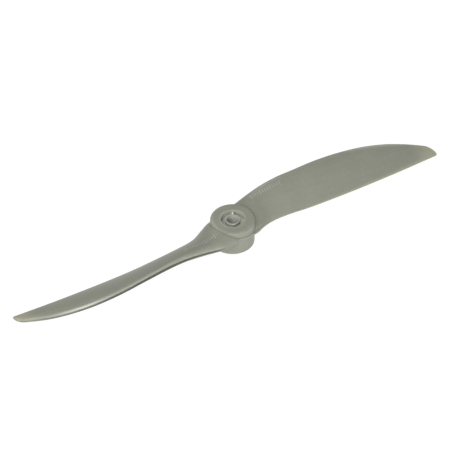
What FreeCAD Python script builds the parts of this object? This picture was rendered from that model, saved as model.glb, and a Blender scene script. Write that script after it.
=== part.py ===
import FreeCAD, Part

import math
import os

from FreeCAD import Vector

# Two-blade fixed-pitch model aircraft propeller, 10 in diameter and about 8 in pitch, in millimetres.
# The frame has +Z forward, out of the front face, along the turning axis. Z = 0 is the rear face
# that sits on the drive washer, and +X runs along the first blade.
# The first blade turns towards +Y, so its leading edge is on the +Y side.
# The second blade is the first one turned half a turn about Z.

# --- driving dimensions -------------------------------------------------------------------------
INCH = 25.4
DIAMETER = 10 * INCH
HUB_THICKNESS = 14.7
BARREL_RADIUS = 11.5          # rear part of the hub
DISC_RADIUS = 11.7            # front part of the hub
PARTING_RADIUS = 12.0         # widest line of the hub, where the two mould halves meet
PARTING_HEIGHT = 9.2
FRONT_FLAT_RADIUS = 9.7       # the flat ring that the propeller washer bears on
RIM_FALL = 0.8                # the front face curves down by this much from the flat ring to its edge
RECESS_RADIUS = 6.0
RECESS_DEPTH = 2.0
HUB_BORE = 8.0
SHAFT_BORE = INCH / 4         # the bore of the centring ring
RING_CLEARANCE = 0.02         # radial play of the centring ring in the hub's bore
RING_LENGTH = 7.0
RING_STANDS_PROUD = 1.0       # height of the ring over the floor of the recess

# --- values that follow from them ---------------------------------------------------------------
TIP_RADIUS = DIAMETER / 2
RECESS_FLOOR = HUB_THICKNESS - RECESS_DEPTH
RING_TOP = RECESS_FLOOR + RING_STANDS_PROUD
RING_RADIUS = HUB_BORE / 2 - RING_CLEARANCE

# --- small features -----------------------------------------------------------------------------
REAR_CHAMFER = 0.2
BORE_CHAMFER = 0.3
RECESS_CHAMFER = 0.35
PARTING_BEAD = 0.2            # half height of the bead along the parting line
SHOULDER = 0.7                # height of the slope from the bead in to the disc
RING_ROUND = 0.2
NIB_ANGLE = 61.0              # direction of the ring's gate nib, from +X towards +Y
NIB_WIDTH = 0.9
NIB_HEIGHT = 1.5              # over the floor of the recess
NIB_WALL_GAP = 0.15

# --- the blade ----------------------------------------------------------------------------------
# Each line gives a radius from the turning axis, then the offset towards +Y and the height of
# that edge there. The leading edge flares into the hub's parting line at the root.
LEADING_EDGE = (
    (0, 10.6, 9.4),
    (5, 12.3, 9.6),
    (10, 13.7, 10.1),
    (17, 14.9, 12.1),
    (25, 15.7, 14.2),
    (35, 16.3, 15.6),
    (45, 17.0, 15.5),
    (60, 18.6, 14.6),
    (75, 19.6, 12.9),
    (90, 19.1, 11.1),
    (102, 17.0, 9.5),
    (112, 13.8, 7.9),
    (120, 10.0, 6.7),
    (127, 6.0, 5.5),
)
TRAILING_EDGE = (
    (0, -8.8, 7.8),
    (5, -9.7, 7.8),
    (10, -9.1, 7.7),
    (15, -6.6, 7.2),
    (22, -3.6, 5.7),
    (32, -2.5, 5.0),
    (45, -2.1, 3.8),
    (60, -1.5, 3.0),
    (80, -1.0, 2.8),
    (105, -0.4, 3.3),
    (127, 0.1, 4.3),
)
# Radius, greatest thickness of the section, and thickness of its blunt trailing edge.
THICKNESS = (
    (0, 9.2, 4.0),
    (10, 8.3, 3.2),
    (17, 6.2, 2.0),
    (25, 4.9, 1.1),
    (40, 3.7, 0.6),
    (60, 2.9, 0.45),
    (90, 2.2, 0.4),
    (115, 1.4, 0.4),
    (127, 0.9, 0.4),
)
CAMBER = 0.035                # height of the camber line, as a share of the chord
THICKEST = 0.3                # share of the chord where the section is thickest
NOSE_POWER = 3.0              # over 2 the nose is blunter than an ellipse
TAIL_POWER = 1.9
ROOT_END = 31.0               # radius where the full, rounded root section has turned into an airfoil
TIP_ROUND_START = 122.0       # radius where the rounding of the tip starts
TIP_ROUND_POWER = 4
TIP_FRACTIONS = (0.4, 0.65, 0.82, 0.92, 0.97, 0.995)
SECTION_RADII = (0, 4, 8, 12, 17, 23, 30, 38, 48, 60, 72, 84, 94, 103, 111, 117, TIP_ROUND_START)
POINTS_PER_SIDE = 12


def smooth_value(table, column, radius):
    """Smooth curve through one column of a table, by cubic Hermite pieces."""
    xs = [row[0] for row in table]
    ys = [row[column] for row in table]
    last = len(xs) - 1

    def slope(i):
        before = max(i - 1, 0)
        after = min(i + 1, last)
        return (ys[after] - ys[before]) / (xs[after] - xs[before])

    i = 0
    while i < last - 1 and radius > xs[i + 1]:
        i += 1
    step = xs[i + 1] - xs[i]
    t = (radius - xs[i]) / step
    return (
        (2 * t**3 - 3 * t**2 + 1) * ys[i]
        + (t**3 - 2 * t**2 + t) * step * slope(i)
        + (3 * t**2 - 2 * t**3) * ys[i + 1]
        + (t**3 - t**2) * step * slope(i + 1)
    )


def edge_point(table, radius):
    return Vector(radius, smooth_value(table, 1, radius), smooth_value(table, 2, radius))


def half_thickness(t, greatest, trailing, fullness):
    """Half thickness at the share t of the chord, from the leading edge."""
    if t < THICKEST:
        power = NOSE_POWER - fullness
        airfoil = (1 - (1 - t / THICKEST) ** power) ** (1 / power) / 2
    else:
        airfoil = (1 - ((t - THICKEST) / (1 - THICKEST)) ** TAIL_POWER) / 2
    rounded = (t * (1 - t)) ** 0.5
    body = greatest * ((1 - fullness) * airfoil + fullness * rounded)
    return max(body, 0) + t * trailing / 2 * (1 - fullness / 2)


def tip_share(radius):
    """Share of the chord that is left by the rounding of the tip."""
    if radius <= TIP_ROUND_START:
        return 1.0
    along = (radius - TIP_ROUND_START) / (TIP_RADIUS - TIP_ROUND_START)
    return (1 - along**TIP_ROUND_POWER) ** 0.5


def section_wire(radius):
    """Closed cambered section of the blade, in the plane at one radius."""
    trailing_point = edge_point(TRAILING_EDGE, radius)
    leading_point = edge_point(LEADING_EDGE, radius)
    leading_point = trailing_point + (leading_point - trailing_point) * tip_share(radius)
    along = trailing_point - leading_point
    chord = along.Length
    up = Vector(1, 0, 0).cross(along).normalize()
    if up.z < 0:
        up = -up
    greatest = min(smooth_value(THICKNESS, 1, radius), 0.5 * chord)
    trailing = min(smooth_value(THICKNESS, 2, radius), 0.3 * chord)
    fullness = max(0.0, 1 - radius / ROOT_END)

    def surface_point(t, side):
        camber = CAMBER * chord * 4 * t * (1 - t)
        height = camber + side * half_thickness(t, greatest, trailing, fullness)
        return leading_point + along * t + up * height

    steps = [(1 - math.cos(math.pi * i / POINTS_PER_SIDE)) / 2 for i in range(POINTS_PER_SIDE + 1)]
    points = [surface_point(t, 1) for t in reversed(steps[1:])]
    points.append(leading_point)
    points += [surface_point(t, -1) for t in steps[1:]]
    skin = Part.BSplineCurve()
    skin.interpolate(Points=points)
    trailing_face = Part.LineSegment(points[-1], points[0])
    return Part.Wire([skin.toShape(), trailing_face.toShape()])


def revolved(profile):
    """Solid of revolution about Z, from a closed outline of edges in the XZ plane."""
    face = Part.Face(Part.Wire(profile))
    return face.revolve(Vector(0, 0, 0), Vector(0, 0, 1), 360)


def polyline(points):
    """Straight edges through points given as (radius, height)."""
    vectors = [Vector(r, 0, z) for r, z in points]
    return [Part.LineSegment(a, b).toShape() for a, b in zip(vectors, vectors[1:])]


def hub_outside():
    """Outline of the hub's outer surface, from the rear face to the flat ring in front."""
    rim_width = DISC_RADIUS - FRONT_FLAT_RADIUS
    turn = math.sqrt(0.5)
    wall = [
        (BARREL_RADIUS - REAR_CHAMFER, 0),
        (BARREL_RADIUS, REAR_CHAMFER),
        (BARREL_RADIUS, PARTING_HEIGHT - PARTING_RADIUS + BARREL_RADIUS - PARTING_BEAD),
        (PARTING_RADIUS, PARTING_HEIGHT - PARTING_BEAD),
        (PARTING_RADIUS, PARTING_HEIGHT + PARTING_BEAD),
        (DISC_RADIUS, PARTING_HEIGHT + PARTING_BEAD + SHOULDER),
        (DISC_RADIUS, HUB_THICKNESS - RIM_FALL),
    ]
    rim = Part.Arc(
        Vector(DISC_RADIUS, 0, HUB_THICKNESS - RIM_FALL),
        Vector(FRONT_FLAT_RADIUS + turn * rim_width, 0, HUB_THICKNESS - (1 - turn) * RIM_FALL),
        Vector(FRONT_FLAT_RADIUS, 0, HUB_THICKNESS),
    )
    return polyline(wall) + [rim.toShape()]


def hub_envelope():
    """What is cut off the blade roots: the hub with its bore filled, and the room in front of it."""
    closing = [
        (FRONT_FLAT_RADIUS, HUB_THICKNESS),
        (FRONT_FLAT_RADIUS, 2 * HUB_THICKNESS),
        (0, 2 * HUB_THICKNESS),
        (0, 0),
        (BARREL_RADIUS - REAR_CHAMFER, 0),
    ]
    return revolved(hub_outside() + polyline(closing))


def make_hub():
    """Hub with its front recess and the bore that holds the centring ring."""
    bore = HUB_BORE / 2
    inside = [
        (FRONT_FLAT_RADIUS, HUB_THICKNESS),
        (RECESS_RADIUS + RECESS_CHAMFER, HUB_THICKNESS),
        (RECESS_RADIUS, HUB_THICKNESS - RECESS_CHAMFER),
        (RECESS_RADIUS, RECESS_FLOOR),
        (bore, RECESS_FLOOR),
        (bore, BORE_CHAMFER),
        (bore + BORE_CHAMFER, 0),
        (BARREL_RADIUS - REAR_CHAMFER, 0),
    ]
    return revolved(hub_outside() + polyline(inside))


def make_blade():
    """First blade, along +X, with its root cut to the outer surface of the hub."""
    tip_length = TIP_RADIUS - TIP_ROUND_START
    radii = list(SECTION_RADII) + [TIP_ROUND_START + share * tip_length for share in TIP_FRACTIONS]
    blade = Part.makeLoft([section_wire(radius) for radius in radii], True)
    return blade.cut(hub_envelope())


def make_centring_ring():
    """Ring that narrows the hub's bore to the shaft, with the gate nib that stops it."""
    inner = SHAFT_BORE / 2
    bottom = RING_TOP - RING_LENGTH
    outline = [
        (inner, bottom),
        (RING_RADIUS - RING_ROUND, bottom),
        (RING_RADIUS, bottom + RING_ROUND),
        (RING_RADIUS, RING_TOP - RING_ROUND),
        (RING_RADIUS - RING_ROUND, RING_TOP),
        (inner, RING_TOP),
        (inner, bottom),
    ]
    middle = (inner + RING_RADIUS) / 2
    nib_length = RECESS_RADIUS - NIB_WALL_GAP - middle
    nib = Part.makeBox(nib_length, NIB_WIDTH, NIB_HEIGHT, Vector(middle, -NIB_WIDTH / 2, RECESS_FLOOR))
    nib.rotate(Vector(0, 0, 0), Vector(0, 0, 1), NIB_ANGLE)
    return revolved(polyline(outline)).fuse(nib).removeSplitter()


def save(shape, name):
    shape = shape.Solids[0] if len(shape.Solids) == 1 else shape
    print(name, "solids", len(shape.Solids), "valid", shape.isValid(), "mm3", round(shape.Volume, 1))
    shape.exportStep(os.path.join("parts", name + ".step"))


os.makedirs("parts", exist_ok=True)
first_blade = make_blade()
second_blade = first_blade.copy()
second_blade.rotate(Vector(0, 0, 0), Vector(0, 0, 1), 180)
save(make_hub(), "hub")
save(first_blade, "blade_1")
save(second_blade, "blade_2")
save(make_centring_ring(), "centring_ring")
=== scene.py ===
import math

import bmesh
import bpy
from mathutils import Matrix, Vector
from mathutils.bvhtree import BVHTree


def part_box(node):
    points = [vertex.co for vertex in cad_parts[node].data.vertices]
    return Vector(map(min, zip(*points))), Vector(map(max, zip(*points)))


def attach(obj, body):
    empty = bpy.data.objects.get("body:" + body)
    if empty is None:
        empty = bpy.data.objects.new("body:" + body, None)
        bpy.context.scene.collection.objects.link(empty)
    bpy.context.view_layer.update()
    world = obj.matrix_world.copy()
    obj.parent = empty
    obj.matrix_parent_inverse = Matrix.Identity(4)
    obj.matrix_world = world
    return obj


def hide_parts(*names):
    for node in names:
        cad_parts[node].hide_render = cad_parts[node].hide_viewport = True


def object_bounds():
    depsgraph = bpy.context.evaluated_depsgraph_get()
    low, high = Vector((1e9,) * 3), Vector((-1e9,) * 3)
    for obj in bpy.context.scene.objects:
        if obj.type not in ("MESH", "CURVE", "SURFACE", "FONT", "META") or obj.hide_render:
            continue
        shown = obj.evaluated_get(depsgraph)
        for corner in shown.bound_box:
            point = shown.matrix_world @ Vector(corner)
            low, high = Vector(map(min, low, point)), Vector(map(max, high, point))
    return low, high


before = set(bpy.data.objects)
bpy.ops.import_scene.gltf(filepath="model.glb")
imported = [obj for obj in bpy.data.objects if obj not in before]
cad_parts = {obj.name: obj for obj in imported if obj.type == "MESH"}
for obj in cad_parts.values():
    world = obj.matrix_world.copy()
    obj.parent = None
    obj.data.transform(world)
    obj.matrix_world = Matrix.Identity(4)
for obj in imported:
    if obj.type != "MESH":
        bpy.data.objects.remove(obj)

# Two-blade model aircraft propeller: the moulded hub and blades and the centring ring.
# Sizes are in millimetres, in the frame of the CAD part, and turned into metres when a mesh is made.
cad_low, cad_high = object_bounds()
MM = 0.001

# --- sizes read from the frame --------------------------------------------------------------------
hub_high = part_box("hub")[1]
ring_low, ring_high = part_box("centring_ring")
HUB_THICKNESS = hub_high.z / MM
PARTING_RADIUS = hub_high.x / MM
TIP_RADIUS = cad_high.x / MM
RING_TOP = ring_high.z / MM
RING_BOTTOM = ring_low.z / MM

# --- the hub and the ring, as in the CAD part -----------------------------------------------------
BARREL_RADIUS = 11.5
DISC_RADIUS = 11.7
FRONT_FLAT_RADIUS = 9.7
RECESS_RADIUS = 6.0
RECESS_FLOOR = HUB_THICKNESS - 2.0
BORE_RADIUS = 4.0
RING_RADIUS = 3.98
SHAFT_RADIUS = 3.175
NIB_ANGLE = math.radians(61.0)
NIB_WIDTH = 0.9
NIB_HEIGHT = 1.5
NIB_END = RECESS_RADIUS - 0.15
RIM_FALL = 0.8                # the front face curves down by this much towards its edge

# --- finer shape that only the looks have ---------------------------------------------------------
PARTING_HEIGHT = 9.1          # mean height of the line where the mould halves meet round the hub
PARTING_SWING = 1.1           # how far that line climbs towards a leading edge
PARTING_HIGH_ANGLE = math.radians(65)
BEAD = 0.15                   # radius of the bead along that line
BEAD_OPENING = 50             # the bead's arc goes this many degrees up and down from its middle
UNDER_BEAD = 0.55             # the barrel's wall ends this far under the line
SHOULDER = 0.75               # the disc's wall starts this far over the line
LIP_WIDTH = 0.8               # low lip round the recess
LIP_HEIGHT = 0.12
REAR_ROUND = 0.2
RECESS_ROUND = 0.3
RECESS_CORNER = 0.25
BORE_ROUND = 0.15
BORE_REAR_ROUND = 0.3
RING_ROUND = 0.2
FILLET = 0.9                  # reach of the fillet between a blade and the hub
CREASE_SHADE_WIDTH = 0.55                 # width of the painted shade line in that fillet
CORE_RADIUS = 9.0             # the blades' roots end on this cylinder, inside the hub's wall
WALL_INSIDE = 11.3            # no fillet closer to the axis than this
WALL_BLEND = 0.2              # the fillet comes in over this much radius
FILLET_END = 20.0             # no fillet further from the axis than this

# --- painted shade and painted highlights on the hub and the ring ---------------------------------
FOOT_SHADE = 0.55             # strength of the painted shade line at the foot of the front disc
FOOT_CORE = 0.15              # it is full up to this distance and gone at the next one
FOOT_REACH = 0.6
LIP_CORE = 0.2                # the same two distances from the middle of the lip round the recess
LIP_REACH = 0.5
CREASE_SHADE_LOW = -1.0             # heights over the parting line between which the crease's painted shade comes in
CREASE_SHADE_HIGH = 0.5
LIP_HIGHLIGHT = 0.14                # how far each place is painted paler, as painted highlight or as painted light in the recess and bore, and made smoother
RECESS_LIGHT = 0.25
RIM_HIGHLIGHT = 0.08
BEAD_HIGHLIGHT = 0.2
RING_HIGHLIGHT = 0.35
BORE_LIGHT = 0.3
ON_FACE = 0.1                 # a point this near to a face counts as being on it

# --- mesh of the hub and the ring -----------------------------------------------------------------
HUB_STEPS = 360
RING_STEPS = 120
BARREL_ROWS = 36
DISC_ROWS = 18
PLAIN_ROWS = 8
RIM_STEPS = 14
LIP_STEPS = 10
ROUND_STEPS = 5

# --- the blade's edges, as in the CAD part: radius, offset towards +Y, height --------------------
LEADING_EDGE = (
    (0, 10.6, 9.4),
    (5, 12.3, 9.6),
    (10, 13.7, 10.1),
    (17, 14.9, 12.1),
    (25, 15.7, 14.2),
    (35, 16.3, 15.6),
    (45, 17.0, 15.5),
    (60, 18.6, 14.6),
    (75, 19.6, 12.9),
    (90, 19.1, 11.1),
    (102, 17.0, 9.5),
    (112, 13.8, 7.9),
    (120, 10.0, 6.7),
    (127, 6.0, 5.5),
)
TRAILING_EDGE = (
    (0, -8.8, 7.8),
    (5, -9.7, 7.8),
    (10, -9.1, 7.7),
    (15, -6.6, 7.2),
    (22, -3.6, 5.7),
    (32, -2.5, 5.0),
    (45, -2.1, 3.8),
    (60, -1.5, 3.0),
    (80, -1.0, 2.8),
    (105, -0.4, 3.3),
    (127, 0.1, 4.3),
)
# Radius, greatest thickness of the section, and thickness of its trailing edge.
THICKNESS = (
    (0, 9.2, 4.0),
    (10, 8.3, 3.2),
    (17, 6.2, 2.0),
    (25, 4.9, 1.1),
    (40, 3.7, 0.6),
    (60, 2.9, 0.45),
    (90, 2.2, 0.4),
    (115, 1.4, 0.4),
    (127, 0.9, 0.4),
)
CAMBER = 0.035
THICKEST = 0.3                # share of the chord where the section is thickest
NOSE_POWER = 3.0              # over 2 the nose is blunter than an ellipse
TAIL_POWER = 1.9
ROOT_END = 31.0               # radius where the full, rounded root section has turned into an airfoil
THICKNESS_LIMIT = 0.5         # the section is never thicker than this share of its chord,
TRAILING_LIMIT = 0.3          # nor its trailing edge than this one
TIP_ROUND_START = 122.0
TIP_CLOSING = 0.12            # the tip closes at this share of the chord, from the trailing edge
TIP_LEADING_POWER = 4
TIP_TRAILING_POWER = 12
TIP_GAP = 0.02                # the last section stops this short of the tip
SHORTEST_CHORD = 0.0001

# --- the blade's mesh -----------------------------------------------------------------------------
FIRST_SECTION = 1.0
ROOT_STEPS = 60
ROOT_MESH_END = 16.0
SPAN_STEPS = 90
TIP_STEPS = 22
SIDE_STEPS = 60
CAP_STEPS = 6

# --- painted shade, painted highlight and tints on the blade --------------------------------------
SHADE_ABOVE_ROOT = 0.15        # the painted shade along the leading edge reaches this far over the leading edge at the root and further out, and this far under it
SHADE_ABOVE_TIP = 0.42         # the leading edge at the root and further out,
SHADE_BELOW = 0.6              # and this far under it
SHADE_START = 11.0             # radius where that line starts to show
SHADE_FULL = 16.0
SHADE_WIDEST = 50.0            # radius where the line has reached its width
SHADE_FADE_START = 80.0        # from this radius to the tip the line loses this share of its strength
SHADE_FADE = 0.6
HIGHLIGHT_REACH_ROOT = 6.0             # the painted highlight over that shade, paler and glossier, reaches over this much at the root and this much further out
HIGHLIGHT_REACH_TIP = 3.0              # the root and this much further out
HIGHLIGHT_LEAST = 0.22           # strength along most of the blade; it is 1 at the radius below
HIGHLIGHT_MIDDLE = 97.0
HIGHLIGHT_SPAN = 12.0
THIN_FROM = 0.75              # thickness under which the nylon starts to let light through
THIN_TO = 0.35
TIP_TINT = 0.9                # the nylon also turns paler and more yellow from this radius to the tip
TIP_TINT_START = 114.0

# --- raised ticks on the blades' roots ------------------------------------------------------------
TICK_PITCH = 1.5
TICK_COUNT = 13
TICK_WIDTH = 0.45
TICK_LENGTH = 1.9
TICK_HEIGHT = 0.15
LONG_TICK = 1.6               # how much longer the long ticks are
LONG_TICK_EVERY = 4
BAR_ROUND = 0.3               # rounding of a small bar's edges, as a share of its least size
CHORD_STEP = 0.02             # short steps over the skin, to find which way it faces
RADIUS_STEP = 0.5

# --- colours, as linear values --------------------------------------------------------------------
BODY_COLOUR = (0.275, 0.283, 0.234)
THIN_COLOUR = (0.385, 0.38, 0.28)
TICK_COLOUR = (0.40, 0.40, 0.335)
RING_COLOUR = (0.31, 0.32, 0.28)
# the next colour paints the gate nib pale, as a painted highlight
NIB_HIGHLIGHT_COLOUR = (0.78, 0.78, 0.72)
SATIN = 0.66
DULL = 0.45
FLECK_PALENESS = 1.5          # how much paler the glass fibres at the surface are, and a place of full painted highlight
HIGHLIGHT_PALENESS = 2.2         # and a fully rubbed place
SHADE_DARKNESS = 0.34          # what is left of the colour in the painted shade along the leading edges and the disc's foot, and in the crease's painted shade
CREASE_SHADE_DARKNESS = 0.78
PLAIN_SPECULAR = 0.06
HIGHLIGHT_SPECULAR = 1.0
HIGHLIGHT_ROUGHNESS = 0.7        # share of the roughness that is left under a full painted highlight

# --- camera and light -----------------------------------------------------------------------------
CAMERA_AZIMUTH = -29.03       # degrees from -Y towards +X, as for the lamps
CAMERA_ELEVATION = 43.44
CAMERA_DISTANCE = 1.2106
CAMERA_LENS = 184.8
AIM_RIGHT = -0.0040           # the camera aims beside the origin by this much, seen by itself
AIM_UP = 0.00738
# Name, azimuth, elevation, distance, size and power of each lamp.
LAMPS = (
    ("front", -29, 50, 1.6, 0.5, 5.5),
    ("low_front", -29, 20, 1.6, 0.5, 7.2),
    ("far", 170, 45, 1.6, 0.5, 9.0),
    ("right", 61, 10, 1.6, 0.5, 7.4),
    ("near_left", -57.5, 40, 0.5, 0.36, 1.45),
)
FAR_SKY = 0.06                # light from the sky on the far side, over +Y
FLOOR_SIZE = 6
FLOOR_GLOW = 0.95


def smooth_value(table, column, radius):
    """Smooth curve through one column of a table, by cubic Hermite pieces."""
    xs = [row[0] for row in table]
    ys = [row[column] for row in table]
    last = len(xs) - 1

    def slope(i):
        before = max(i - 1, 0)
        after = min(i + 1, last)
        return (ys[after] - ys[before]) / (xs[after] - xs[before])

    i = 0
    while i < last - 1 and radius > xs[i + 1]:
        i += 1
    step = xs[i + 1] - xs[i]
    t = (radius - xs[i]) / step
    return (
        (2 * t**3 - 3 * t**2 + 1) * ys[i]
        + (t**3 - 2 * t**2 + t) * step * slope(i)
        + (3 * t**2 - 2 * t**3) * ys[i + 1]
        + (t**3 - t**2) * step * slope(i + 1)
    )


def share_of(value, zero_at, one_at):
    """Where a value lies between two others, from 0 to 1 and never beyond."""
    return min(1.0, max(0.0, (value - zero_at) / (one_at - zero_at)))


def from_axis(point):
    return math.hypot(point.x, point.y)


def edge_point(table, radius):
    return Vector((radius, smooth_value(table, 1, radius), smooth_value(table, 2, radius)))


def half_thickness(t, greatest, trailing, fullness):
    """Half thickness at the share t of the chord, from the leading edge."""
    if t < THICKEST:
        power = NOSE_POWER - fullness
        airfoil = (1 - (1 - t / THICKEST) ** power) ** (1 / power) / 2
    else:
        airfoil = (1 - ((t - THICKEST) / (1 - THICKEST)) ** TAIL_POWER) / 2
    rounded = (t * (1 - t)) ** 0.5
    body = greatest * ((1 - fullness) * airfoil + fullness * rounded)
    return max(body, 0) + t * trailing / 2 * (1 - fullness / 2)


class Section:
    """The blade's section in the plane at one radius."""

    def __init__(self, radius):
        leading = edge_point(LEADING_EDGE, radius)
        trailing = edge_point(TRAILING_EDGE, radius)
        into_tip = share_of(radius, TIP_ROUND_START, TIP_RADIUS)
        closing = trailing.lerp(leading, TIP_CLOSING)
        self.leading = closing.lerp(leading, max(0.0, 1 - into_tip**TIP_LEADING_POWER) ** 0.5)
        trailing = closing.lerp(trailing, max(0.0, 1 - into_tip**TIP_TRAILING_POWER) ** 0.5)
        self.chord = max((trailing - self.leading).length, SHORTEST_CHORD)
        self.greatest = min(smooth_value(THICKNESS, 1, radius), THICKNESS_LIMIT * self.chord)
        self.trailing = min(smooth_value(THICKNESS, 2, radius), TRAILING_LIMIT * self.chord)
        self.fullness = max(0.0, 1 - radius / ROOT_END)
        self.cap = half_thickness(1.0, self.greatest, self.trailing, self.fullness)
        self.along = (trailing - self.leading) * max(0.0, 1 - self.cap / self.chord)
        self.direction = (trailing - self.leading).normalized()
        up = Vector((1, 0, 0)).cross(self.direction)
        self.up = up if up.z > 0 else -up

    def surface(self, t, side):
        """Point of the upper (side 1) or lower (side -1) skin, and the thickness there."""
        half = half_thickness(t, self.greatest, self.trailing, self.fullness)
        camber = CAMBER * self.chord * 4 * t * (1 - t)
        return self.leading + self.along * t + self.up * (camber + side * half), 2 * half

    def shown_thickness(self, t, thickness):
        """Thickness that the material goes by: the rounding of the nose doesn't count as thin."""
        return thickness if t > THICKEST else self.greatest

    def shade_strength(self):
        """Strength of the painted shade along the leading edge: none inside the hub, and weaker towards the
        tip.
        """
        fading = SHADE_FADE * share_of(self.leading.x, SHADE_FADE_START, TIP_RADIUS)
        return share_of(self.leading.x, SHADE_START, SHADE_FULL) * (1 - fading)

    def highlight_strength(self):
        """Strength of the painted highlight over that shade, greatest round one radius."""
        from_middle = (self.leading.x - HIGHLIGHT_MIDDLE) / HIGHLIGHT_SPAN
        more = (1 - HIGHLIGHT_LEAST) * math.exp(-from_middle**2)
        return share_of(self.leading.x, SHADE_START, SHADE_FULL) * (HIGHLIGHT_LEAST + more)

    def upper_marks(self, point):
        """Painted shade mark and painted highlight mark of a point of the upper skin."""
        radius = self.leading.x
        from_edge = (point - self.leading).length
        widening = share_of(radius, ROOT_END, SHADE_WIDEST)
        above = SHADE_ABOVE_ROOT + (SHADE_ABOVE_TIP - SHADE_ABOVE_ROOT) * widening
        over = 1 - share_of(from_edge, above, 2 * above)
        reach = HIGHLIGHT_REACH_ROOT + (HIGHLIGHT_REACH_TIP - HIGHLIGHT_REACH_ROOT) * share_of(radius, SHADE_FULL, SHADE_WIDEST)
        fading = (1 - share_of(from_edge, above, above + reach)) ** 2
        return self.shade_strength() * over, self.highlight_strength() * fading * (1 - over)

    def loop(self):
        """Points round the section, each with its thickness, its painted shade mark and its painted highlight
        mark.
        """
        shares = [(1 - math.cos(math.pi * i / SIDE_STEPS)) / 2 for i in range(SIDE_STEPS + 1)]
        places = []
        for t in reversed(shares[1:]):
            point, thickness = self.surface(t, 1)
            places.append((point, self.shown_thickness(t, thickness), *self.upper_marks(point)))
        places.append((self.leading, self.greatest, self.shade_strength(), 0.0))
        for t in shares[1:]:
            point, thickness = self.surface(t, -1)
            from_edge = (point - self.leading).length
            under = 1 - share_of(from_edge, SHADE_BELOW, 1.5 * SHADE_BELOW)
            places.append((point, self.shown_thickness(t, thickness), self.shade_strength() * under, 0.0))
        end = self.leading + self.along
        for i in range(1, CAP_STEPS):
            turn = math.pi * (i / CAP_STEPS - 0.5)
            point = end + self.direction * (self.cap * math.cos(turn)) + self.up * (self.cap * math.sin(turn))
            places.append((point, 2 * self.cap * math.cos(turn), 0.0, 0.0))
        return places


def spread(start, end, steps):
    """Evenly spaced values after the start, up to the end."""
    return [start + (end - start) * (i + 1) / steps for i in range(steps)]


def mesh_object(name, points, faces, material, marks=None):
    """Object from points in millimetres, with a named value at each point for its material."""
    mesh = bpy.data.meshes.new(name)
    mesh.from_pydata([Vector(p) * MM for p in points], [], faces)
    mesh.update()
    mesh.shade_smooth()
    mesh.set_sharp_from_angle(angle=math.radians(40))
    mesh.materials.append(material)
    for mark, values in (marks or {}).items():
        mesh.attributes.new(mark, "FLOAT", "POINT").data.foreach_set("value", values)
    obj = bpy.data.objects.new(name, mesh)
    bpy.context.scene.collection.objects.link(obj)
    return obj


def outside_core(point):
    """The point itself, or pushed out to the cylinder inside the hub's wall."""
    outward = CORE_RADIUS / from_axis(point)
    if outward <= 1:
        return point
    return Vector((point.x * outward, point.y * outward, point.z))


def thin_mark(point, thickness):
    """How far the nylon shows its thin colour: where it is thin, and towards the tip."""
    tip = TIP_TINT * share_of(point.x, TIP_TINT_START, TIP_RADIUS)
    return max(share_of(thickness, THIN_FROM, THIN_TO), tip)


def end_faces(first, root):
    """Strips between the upper and lower skin that close an end of the blade."""
    last = 2 * SIDE_STEPS
    faces = [(i, i + 1, last - i - 1, last - i) for i in range(SIDE_STEPS - 1)]
    faces.append((SIDE_STEPS - 1, SIDE_STEPS, SIDE_STEPS + 1))
    faces.append((0, *range(last, last + CAP_STEPS)))
    faces = [tuple(first + corner for corner in face) for face in faces]
    return faces if root else [tuple(reversed(face)) for face in faces]


def blade_radii():
    """Radii of the mesh's sections, closer together at the root and towards the tip."""
    tip_length = TIP_RADIUS - TIP_GAP - TIP_ROUND_START
    radii = [FIRST_SECTION]
    radii += spread(FIRST_SECTION, ROOT_MESH_END, ROOT_STEPS)
    radii += spread(ROOT_MESH_END, TIP_ROUND_START, SPAN_STEPS)
    return radii + [TIP_ROUND_START + tip_length * (1 - (1 - s) ** 2) for s in spread(0, 1, TIP_STEPS)]


def make_blade(name, turned, material):
    """One blade, from inside the hub's wall out to its tip."""
    radii = blade_radii()
    points, thicknesses, shades, highlights = zip(*[place for radius in radii for place in Section(radius).loop()])
    marks = {
        "thin": [thin_mark(point, thickness) for point, thickness in zip(points, thicknesses)],
        # painted shade under the leading edge, and painted highlight over it
        "painted_shade": shades,
        "painted_highlight": highlights,
    }
    points = [outside_core(point) for point in points]
    count = len(points) // len(radii)
    faces = end_faces(0, True)
    for i in range(len(radii) - 1):
        for j in range(count):
            k = (j + 1) % count
            faces.append((i * count + j, (i + 1) * count + j, (i + 1) * count + k, i * count + k))
    faces += end_faces((len(radii) - 1) * count, False)
    if turned:
        points = [Vector((-p.x, -p.y, p.z)) for p in points]
    return mesh_object(name, points, faces, material, marks)


def arc(centre, radius, start, end):
    """Points of an arc in the (radius, height) plane, angles in degrees."""
    angles = [math.radians(start + (end - start) * i / ROUND_STEPS) for i in range(ROUND_STEPS + 1)]
    return [(centre[0] + radius * math.cos(a), centre[1] + radius * math.sin(a)) for a in angles]


def run(start, end, rows):
    """Points between two (radius, height) places, without the places themselves."""
    shares = [i / rows for i in range(1, rows)]
    return [(start[0] + (end[0] - start[0]) * s, start[1] + (end[1] - start[1]) * s) for s in shares]


def lathe(name, profiles, material):
    """Solid of revolution about Z, from its closed (radius, height) outline at each step of the turn."""
    steps = len(profiles)
    count = len(profiles[0])
    points = []
    faces = []
    for i, profile in enumerate(profiles):
        angle = 2 * math.pi * i / steps
        points += [Vector((r * math.cos(angle), r * math.sin(angle), z)) for r, z in profile]
        n = (i + 1) % steps
        for j in range(count):
            k = (j + 1) % count
            faces.append((i * count + j, n * count + j, n * count + k, i * count + k))
    return mesh_object(name, points, faces, material)


def ridge_height(angle):
    """Height of the parting line: it climbs towards each leading edge and falls to the trailing edges."""
    return PARTING_HEIGHT + PARTING_SWING * math.cos(2 * (angle - PARTING_HIGH_ANGLE))


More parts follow.
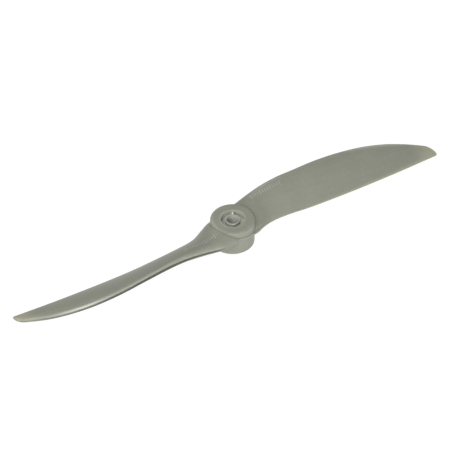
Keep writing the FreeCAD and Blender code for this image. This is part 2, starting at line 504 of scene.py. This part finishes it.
def hub_wall(angle):
    """The hub's outline at one angle, from its rear edge up to the flat in front."""
    ridge = ridge_height(angle)
    barrel_top = (BARREL_RADIUS, ridge - UNDER_BEAD)
    disc_foot = (DISC_RADIUS, ridge + SHOULDER)
    rim_foot = (DISC_RADIUS, HUB_THICKNESS - RIM_FALL)
    rim_width = DISC_RADIUS - FRONT_FLAT_RADIUS
    outline = arc((BARREL_RADIUS - REAR_ROUND, REAR_ROUND), REAR_ROUND, -90, 0)
    outline += run((BARREL_RADIUS, REAR_ROUND), barrel_top, BARREL_ROWS) + [barrel_top]
    outline += arc((PARTING_RADIUS - BEAD, ridge), BEAD, -BEAD_OPENING, BEAD_OPENING)
    outline += [disc_foot] + run(disc_foot, rim_foot, DISC_ROWS)
    for i in range(RIM_STEPS + 1):
        turn = math.pi / 2 * i / RIM_STEPS
        radius = FRONT_FLAT_RADIUS + rim_width * math.cos(turn)
        outline.append((radius, HUB_THICKNESS - RIM_FALL * (1 - math.sin(turn))))
    return outline


def hub_inside():
    """The rest of the hub's outline: the flat, the lip, the recess, the bore and the rear face."""
    top = HUB_THICKNESS
    floor = RECESS_FLOOR
    recess_edge = RECESS_RADIUS + RECESS_ROUND
    lip_edge = recess_edge + LIP_WIDTH
    outline = run((FRONT_FLAT_RADIUS, top), (lip_edge, top), PLAIN_ROWS)
    for i in range(LIP_STEPS):
        share = i / LIP_STEPS
        outline.append((lip_edge - LIP_WIDTH * share, top + LIP_HEIGHT * math.sin(math.pi * share) ** 2))
    outline += arc((recess_edge, top - RECESS_ROUND), RECESS_ROUND, 90, 180)
    outline += run((RECESS_RADIUS, top - RECESS_ROUND), (RECESS_RADIUS, floor + RECESS_CORNER), PLAIN_ROWS)
    outline += arc((RECESS_RADIUS - RECESS_CORNER, floor + RECESS_CORNER), RECESS_CORNER, 0, -90)
    outline += run((RECESS_RADIUS - RECESS_CORNER, floor), (BORE_RADIUS + BORE_ROUND, floor), PLAIN_ROWS)
    outline += arc((BORE_RADIUS + BORE_ROUND, floor - BORE_ROUND), BORE_ROUND, 90, 180)
    outline += run((BORE_RADIUS, floor - BORE_ROUND), (BORE_RADIUS, BORE_REAR_ROUND), PLAIN_ROWS)
    outline += arc((BORE_RADIUS + BORE_REAR_ROUND, BORE_REAR_ROUND), BORE_REAR_ROUND, 180, 270)
    outline += run((BORE_RADIUS + BORE_REAR_ROUND, 0), (BARREL_RADIUS - REAR_ROUND, 0), PLAIN_ROWS)
    return outline


def ring_outline():
    """The ring's closed outline, rounded at its outer edges and at the top of its bore."""
    outer = RING_RADIUS - RING_ROUND
    outline = arc((outer, RING_BOTTOM + RING_ROUND), RING_ROUND, -90, 0)
    outline += run((RING_RADIUS, RING_BOTTOM + RING_ROUND), (RING_RADIUS, RING_TOP - RING_ROUND), PLAIN_ROWS)
    outline += arc((outer, RING_TOP - RING_ROUND), RING_ROUND, 0, 90)
    outline += arc((SHAFT_RADIUS + RING_ROUND, RING_TOP - RING_ROUND), RING_ROUND, 90, 180)
    outline += run((SHAFT_RADIUS, RING_TOP - RING_ROUND), (SHAFT_RADIUS, RING_BOTTOM), PLAIN_ROWS)
    return outline + [(SHAFT_RADIUS, RING_BOTTOM)]


def over_ridge(point):
    """Height of a point over the parting line."""
    return point.z - ridge_height(math.atan2(point.y, point.x))


def foot_shade_mark(point):
    """Painted shade line where the front disc rises from the shoulder."""
    gap = math.hypot(from_axis(point) - DISC_RADIUS, over_ridge(point) - SHOULDER)
    return FOOT_SHADE * (1 - share_of(gap, FOOT_CORE, FOOT_REACH))


def hub_highlight_mark(point):
    """Places of the hub painted paler and glossier: painted highlights on its rim, the lip round the recess
    and the parting line, and painted light in the recess.
    """
    radius = from_axis(point)
    recess_edge = RECESS_RADIUS + RECESS_ROUND
    from_lip = abs(radius - recess_edge - LIP_WIDTH / 2)
    on_lip = (1 - share_of(from_lip, LIP_CORE, LIP_REACH)) * (point.z > HUB_THICKNESS - ON_FACE)
    in_recess = BORE_RADIUS < radius < recess_edge and point.z > RECESS_FLOOR - ON_FACE
    on_bead = radius > DISC_RADIUS + ON_FACE
    on_rim = share_of(radius, FRONT_FLAT_RADIUS, DISC_RADIUS - 0.5) * (point.z > RECESS_FLOOR)
    return max(LIP_HIGHLIGHT * on_lip, RECESS_LIGHT * in_recess, BEAD_HIGHLIGHT * on_bead, RIM_HIGHLIGHT * on_rim)


def ring_highlight_mark(point):
    """Painted highlight on the ring's outer edge at the top, and painted light in its bore, both also
    glossier.
    """
    radius = from_axis(point)
    edge = share_of(radius, SHAFT_RADIUS, RING_RADIUS) * share_of(point.z, RING_TOP - 1.0, RING_TOP - 0.3)
    return max(RING_HIGHLIGHT * edge, BORE_LIGHT * (radius < SHAFT_RADIUS + ON_FACE))


def set_mark(obj, name, value_at):
    """Give each point of an object a named value, for its material."""
    values = [value_at(vertex.co / MM) for vertex in obj.data.vertices]
    obj.data.attributes.new(name, "FLOAT", "POINT").data.foreach_set("value", values)


def make_hub(material):
    angles = [2 * math.pi * i / HUB_STEPS for i in range(HUB_STEPS)]
    hub = lathe("hub_moulding", [hub_wall(angle) + hub_inside() for angle in angles], material)
    # painted shade at the disc's foot, then painted highlights on the hub and painted light in its recess
    set_mark(hub, "painted_shade", foot_shade_mark)
    set_mark(hub, "painted_highlight", hub_highlight_mark)
    return hub


def make_ring(material):
    ring = lathe("centring_bush", [ring_outline()] * RING_STEPS, material)
    set_mark(ring, "painted_highlight", ring_highlight_mark)
    return ring


def add_bar(form, size, place):
    """Small bar with rounded edges, added to a bmesh with its place as a matrix in millimetres."""
    made = bmesh.ops.create_cube(form, size=1)["verts"]
    bmesh.ops.scale(form, vec=Vector(size), verts=made)
    edges = list({edge for vertex in made for edge in vertex.link_edges})
    offset = BAR_ROUND * min(size)
    rounded = bmesh.ops.bevel(form, geom=edges, offset=offset, segments=3, profile=0.5, affect="EDGES")
    corners = list({vertex for face in rounded["faces"] for vertex in face.verts})
    bmesh.ops.transform(form, matrix=place, verts=corners)


def form_object(name, form, material):
    """Object from a bmesh in millimetres."""
    form.transform(Matrix.Scale(MM, 4))
    mesh = bpy.data.meshes.new(name)
    form.to_mesh(mesh)
    form.free()
    mesh.shade_smooth()
    mesh.materials.append(material)
    obj = bpy.data.objects.new(name, mesh)
    bpy.context.scene.collection.objects.link(obj)
    return obj


def skin_axes(radius, chord_share):
    """Axes on the blade's upper skin: along the blade, along the chord and out of the skin."""
    section = Section(radius)
    place = section.surface(chord_share, 1)[0]
    across = (section.surface(chord_share + CHORD_STEP, 1)[0] - place).normalized()
    outward = Section(radius + RADIUS_STEP).surface(chord_share, 1)[0] - place
    normal = outward.cross(across).normalized()
    normal = normal if normal.z > 0 else -normal
    axes = Matrix((across.cross(normal), across, normal)).transposed().to_4x4()
    return Matrix.Translation(place) @ axes


def make_ticks(name, start, chord_share, turned, material):
    """Row of low raised ticks along the blade's root, some of them longer, like a plain scale."""
    form = bmesh.new()
    for i in range(TICK_COUNT):
        length = TICK_LENGTH * (LONG_TICK if i % LONG_TICK_EVERY == 0 else 1.0)
        add_bar(form, (TICK_WIDTH, length, 2 * TICK_HEIGHT), skin_axes(start + i * TICK_PITCH, chord_share))
    if turned:
        form.transform(Matrix.Rotation(math.pi, 4, "Z"))
    return form_object(name, form, material)


def make_nib(material):
    """Rounded stub of the gate, from the ring's top out to the wall of the recess."""
    start = (SHAFT_RADIUS + RING_RADIUS) / 2
    centre = Vector(((start + NIB_END) / 2, 0, RECESS_FLOOR + NIB_HEIGHT / 2))
    form = bmesh.new()
    add_bar(form, (NIB_END - start, NIB_WIDTH, NIB_HEIGHT), Matrix.Translation(centre))
    form.transform(Matrix.Rotation(NIB_ANGLE, 4, "Z"))
    return form_object("gate_nib", form, material)


def surface_tree(obj):
    mesh = obj.data
    points = [vertex.co / MM for vertex in mesh.vertices]
    return BVHTree.FromPolygons(points, [tuple(face.vertices) for face in mesh.polygons])


def gap_to(trees, point):
    """Lowest of a point's gaps to some surfaces, each negative behind the surface's nearest face."""
    gaps = []
    for tree in trees:
        place, normal, face, distance = tree.find_nearest(point)
        gaps.append(math.copysign(distance, (point - place).dot(normal)))
    return min(gaps)


def fillet_rise(gap):
    """How far one of two surfaces that meet at a corner rises into the fillet, at a gap from the other."""
    near = min(FILLET, max(gap, FILLET / 4))
    return (FILLET**0.5 - near**0.5) ** 2 * share_of(gap, -FILLET, 0)


def fill_corner(obj, trees):
    """Raise the fillet where this surface meets the others, and mark the painted shade in the crease over the
    ridge.
    """
    mesh = obj.data
    crease_shades = []
    moved = []
    for vertex in mesh.vertices:
        point = vertex.co / MM
        outside = share_of(from_axis(point), WALL_INSIDE, WALL_INSIDE + WALL_BLEND)
        near_hub = outside > 0 and from_axis(point) < FILLET_END
        gap = gap_to(trees, point) if near_hub else FILLET
        # the darker crease line is painted shade
        in_crease_shade = 1 - share_of(abs(gap), CREASE_SHADE_WIDTH / 2, CREASE_SHADE_WIDTH * 1.5)
        crease_shades.append(outside * in_crease_shade * share_of(over_ridge(point), CREASE_SHADE_LOW, CREASE_SHADE_HIGH))
        moved.append(vertex.co + vertex.normal * (fillet_rise(gap) * outside * MM))
    mesh.vertices.foreach_set("co", [value for place in moved for value in place])
    mesh.attributes.new("painted_crease_shade", "FLOAT", "POINT").data.foreach_set("value", crease_shades)
    mesh.update()


# --- materials --------------------------------------------------------------------------------------
def add_node(tree, kind, inputs, **settings):
    """Shader node with its inputs set or linked, by socket name or number."""
    made = tree.nodes.new(kind)
    for setting, value in settings.items():
        setattr(made, setting, value)
    for socket, value in inputs.items():
        if isinstance(value, bpy.types.NodeSocket):
            tree.links.new(value, made.inputs[socket])
        else:
            made.inputs[socket].default_value = value
    return made


def noise(tree, scale, detail):
    """Noise over the shared frame, with its own number of features per metre along each axis."""
    place = add_node(tree, "ShaderNodeTexCoord", {}).outputs["Object"]
    scaled = add_node(tree, "ShaderNodeMapping", {"Vector": place, "Scale": scale}).outputs["Vector"]
    made = add_node(tree, "ShaderNodeTexNoise", {"Vector": scaled, "Scale": 1.0, "Detail": detail})
    return made.outputs["Fac"]


def remap(tree, value, start, end, low, high):
    """Value scaled from one range to another, held at its ends."""
    inputs = {"Value": value, "From Min": start, "From Max": end, "To Min": low, "To Max": high}
    return add_node(tree, "ShaderNodeMapRange", inputs).outputs["Result"]


def product(tree, *values):
    result = values[0]
    for value in values[1:]:
        result = add_node(tree, "ShaderNodeMath", {0: result, 1: value}, operation="MULTIPLY").outputs[0]
    return result


def blended(tree, factor, first, second):
    inputs = {0: factor, 6: first, 7: second}
    return add_node(tree, "ShaderNodeMix", inputs, data_type="RGBA").outputs[2]


def mark(tree, name):
    """The value that the mesh carries under this name, or 0 where it has none."""
    return add_node(tree, "ShaderNodeAttribute", {}, attribute_name=name).outputs["Fac"]


def shade_of(tree, flow, grain):
    """How light or dark the nylon is: flow lines, clouds and grain, and the painted shade and painted
    highlight marks.
    """
    cloud = noise(tree, (70, 90, 90), 2)
    return product(
        tree,
        remap(tree, flow, 0.3, 0.7, 0.975, 1.025),
        remap(tree, cloud, 0.3, 0.7, 0.965, 1.035),
        remap(tree, grain, 0.25, 0.75, 0.93, 1.07),
        # painted shade along the leading edges, at the disc's foot and in the crease; painted highlight makes
        # places paler
        remap(tree, mark(tree, "painted_shade"), 0, 1, 1.0, SHADE_DARKNESS),
        remap(tree, mark(tree, "painted_crease_shade"), 0, 1, 1.0, CREASE_SHADE_DARKNESS),
        remap(tree, mark(tree, "painted_highlight"), 0, 1, 1.0, HIGHLIGHT_PALENESS),
    )


def moulded_nylon(name, colour, gloss):
    """Glass-filled nylon with flow lines along the blade, fine fibres and a fine grain."""
    material = bpy.data.materials.new(name)
    material.use_nodes = True
    tree = material.node_tree
    shader = tree.nodes["Principled BSDF"]
    flow = noise(tree, (40, 520, 520), 3)
    grain = noise(tree, (1500, 1500, 1500), 4)
    fibre = noise(tree, (350, 2600, 2600), 1)
    # places of painted highlight are painted paler and are also made glossier below
    painted_highlight = mark(tree, "painted_highlight")
    pale = [min(1.0, FLECK_PALENESS * channel) for channel in colour]
    tinted = blended(tree, mark(tree, "thin"), (*colour, 1), (*THIN_COLOUR, 1))
    flecked = blended(tree, remap(tree, fibre, 0.66, 0.74, 0.0, 0.3), tinted, (*pale, 1))
    shade = shade_of(tree, flow, grain)
    painted = add_node(tree, "ShaderNodeVectorMath", {0: flecked, "Scale": shade}, operation="SCALE")
    tree.links.new(painted.outputs["Vector"], shader.inputs["Base Color"])
    uneven = remap(tree, grain, 0.3, 0.7, 1 - gloss - 0.05, 1 - gloss + 0.05)
    roughness = product(tree, uneven, remap(tree, painted_highlight, 0, 1, 1.0, HIGHLIGHT_ROUGHNESS))
    tree.links.new(roughness, shader.inputs["Roughness"])
    specular = remap(tree, painted_highlight, 0, 1, PLAIN_SPECULAR, HIGHLIGHT_SPECULAR)
    tree.links.new(specular, shader.inputs["Specular IOR Level"])
    relief = add_node(tree, "ShaderNodeMath", {0: grain, 1: flow}, operation="ADD").outputs[0]
    bump = add_node(tree, "ShaderNodeBump", {"Strength": 0.25, "Distance": 0.03 * MM, "Height": relief})
    tree.links.new(bump.outputs["Normal"], shader.inputs["Normal"])
    return material


# --- stage ------------------------------------------------------------------------------------------
def direction_of(azimuth, elevation):
    """Direction from the origin: azimuth from -Y towards +X, both angles in degrees."""
    turn = math.radians(azimuth)
    rise = math.radians(elevation)
    return Vector((math.sin(turn) * math.cos(rise), -math.cos(turn) * math.cos(rise), math.sin(rise)))


def make_floor():
    """Plain floor that shines by itself like a light table, as white as the background."""
    bpy.ops.mesh.primitive_plane_add(size=FLOOR_SIZE)
    floor = bpy.context.object
    floor.name = "floor"
    material = bpy.data.materials.new("pale_floor")
    material.use_nodes = True
    shader = material.node_tree.nodes["Principled BSDF"]
    shader.inputs["Base Color"].default_value = (0.1, 0.1, 0.1, 1)
    shader.inputs["Roughness"].default_value = 0.9
    shader.inputs["Specular IOR Level"].default_value = 0.0
    shader.inputs["Emission Color"].default_value = (1, 1, 1, 1)
    shader.inputs["Emission Strength"].default_value = FLOOR_GLOW
    floor.data.materials.append(material)


def area_light(name, azimuth, elevation, distance, size, power):
    """Round lamp aimed at the hub."""
    light = bpy.data.lights.new(name, "AREA")
    light.shape = "DISK"
    light.size = size
    light.energy = power
    obj = bpy.data.objects.new(name, light)
    obj.location = direction_of(azimuth, elevation) * distance
    obj.rotation_euler = (-obj.location).to_track_quat("-Z", "Y").to_euler()
    bpy.context.scene.collection.objects.link(obj)


def make_world():
    """Faint light from the far side, fading out towards the side of the front lamps."""
    world = bpy.data.worlds.new("studio")
    world.use_nodes = True
    tree = world.node_tree
    direction = add_node(tree, "ShaderNodeTexCoord", {}).outputs["Generated"]
    parts = add_node(tree, "ShaderNodeSeparateXYZ", {0: direction}).outputs
    strength = remap(tree, parts["Y"], -1.0, 1.0, 0.0, FAR_SKY)
    tree.links.new(strength, tree.nodes["Background"].inputs["Strength"])
    tree.nodes["Background"].inputs["Color"].default_value = (1, 1, 1, 1)
    bpy.context.scene.world = world


def make_camera():
    """Camera that aims a little beside the hub, so that the hub isn't in the middle."""
    back = direction_of(CAMERA_AZIMUTH, CAMERA_ELEVATION)
    turn = math.radians(CAMERA_AZIMUTH)
    right = Vector((math.cos(turn), math.sin(turn), 0))
    place = back * CAMERA_DISTANCE
    back = (place - right * AIM_RIGHT - back.cross(right) * AIM_UP).normalized()
    right = (right - back * right.dot(back)).normalized()
    camera = bpy.data.cameras.new("camera")
    camera.lens = CAMERA_LENS
    obj = bpy.data.objects.new("camera", camera)
    obj.matrix_world = Matrix((right, back.cross(right), back)).transposed().to_4x4()
    obj.location = place
    bpy.context.scene.collection.objects.link(obj)
    bpy.context.scene.camera = obj


# --- the pieces -------------------------------------------------------------------------------------
body = moulded_nylon("moulded_nylon", BODY_COLOUR, SATIN)
raised = moulded_nylon("moulded_nylon_raised", TICK_COLOUR, SATIN)
ring_body = moulded_nylon("ring_nylon", RING_COLOUR, SATIN)
# the gate nib's material is pale as a painted highlight
nib_highlight = moulded_nylon("nib_highlight_nylon", NIB_HIGHLIGHT_COLOUR, DULL)

hub = make_hub(body)
blades = [make_blade("blade_1_moulding", False, body), make_blade("blade_2_moulding", True, body)]
hub_tree = surface_tree(hub)
blade_trees = [surface_tree(blade) for blade in blades]
fill_corner(hub, blade_trees)
for blade in blades:
    fill_corner(blade, [hub_tree])
for piece, node in zip([hub] + blades, ("hub", "blade_1", "blade_2")):
    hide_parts(node)
ticks = [
    make_ticks("blade_1_ticks", 16.5, 0.2, False, raised),
    make_ticks("blade_2_ticks", 14.5, 0.33, True, raised),
]
for piece in [hub] + blades + ticks:
    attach(piece, "propeller")

for piece in (make_ring(ring_body), make_nib(nib_highlight)):
    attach(piece, "ring")
    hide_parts("centring_ring")

make_floor()
for lamp in LAMPS:
    area_light(*lamp)
make_world()
bpy.context.scene.view_settings.view_transform = "Standard"
make_camera()
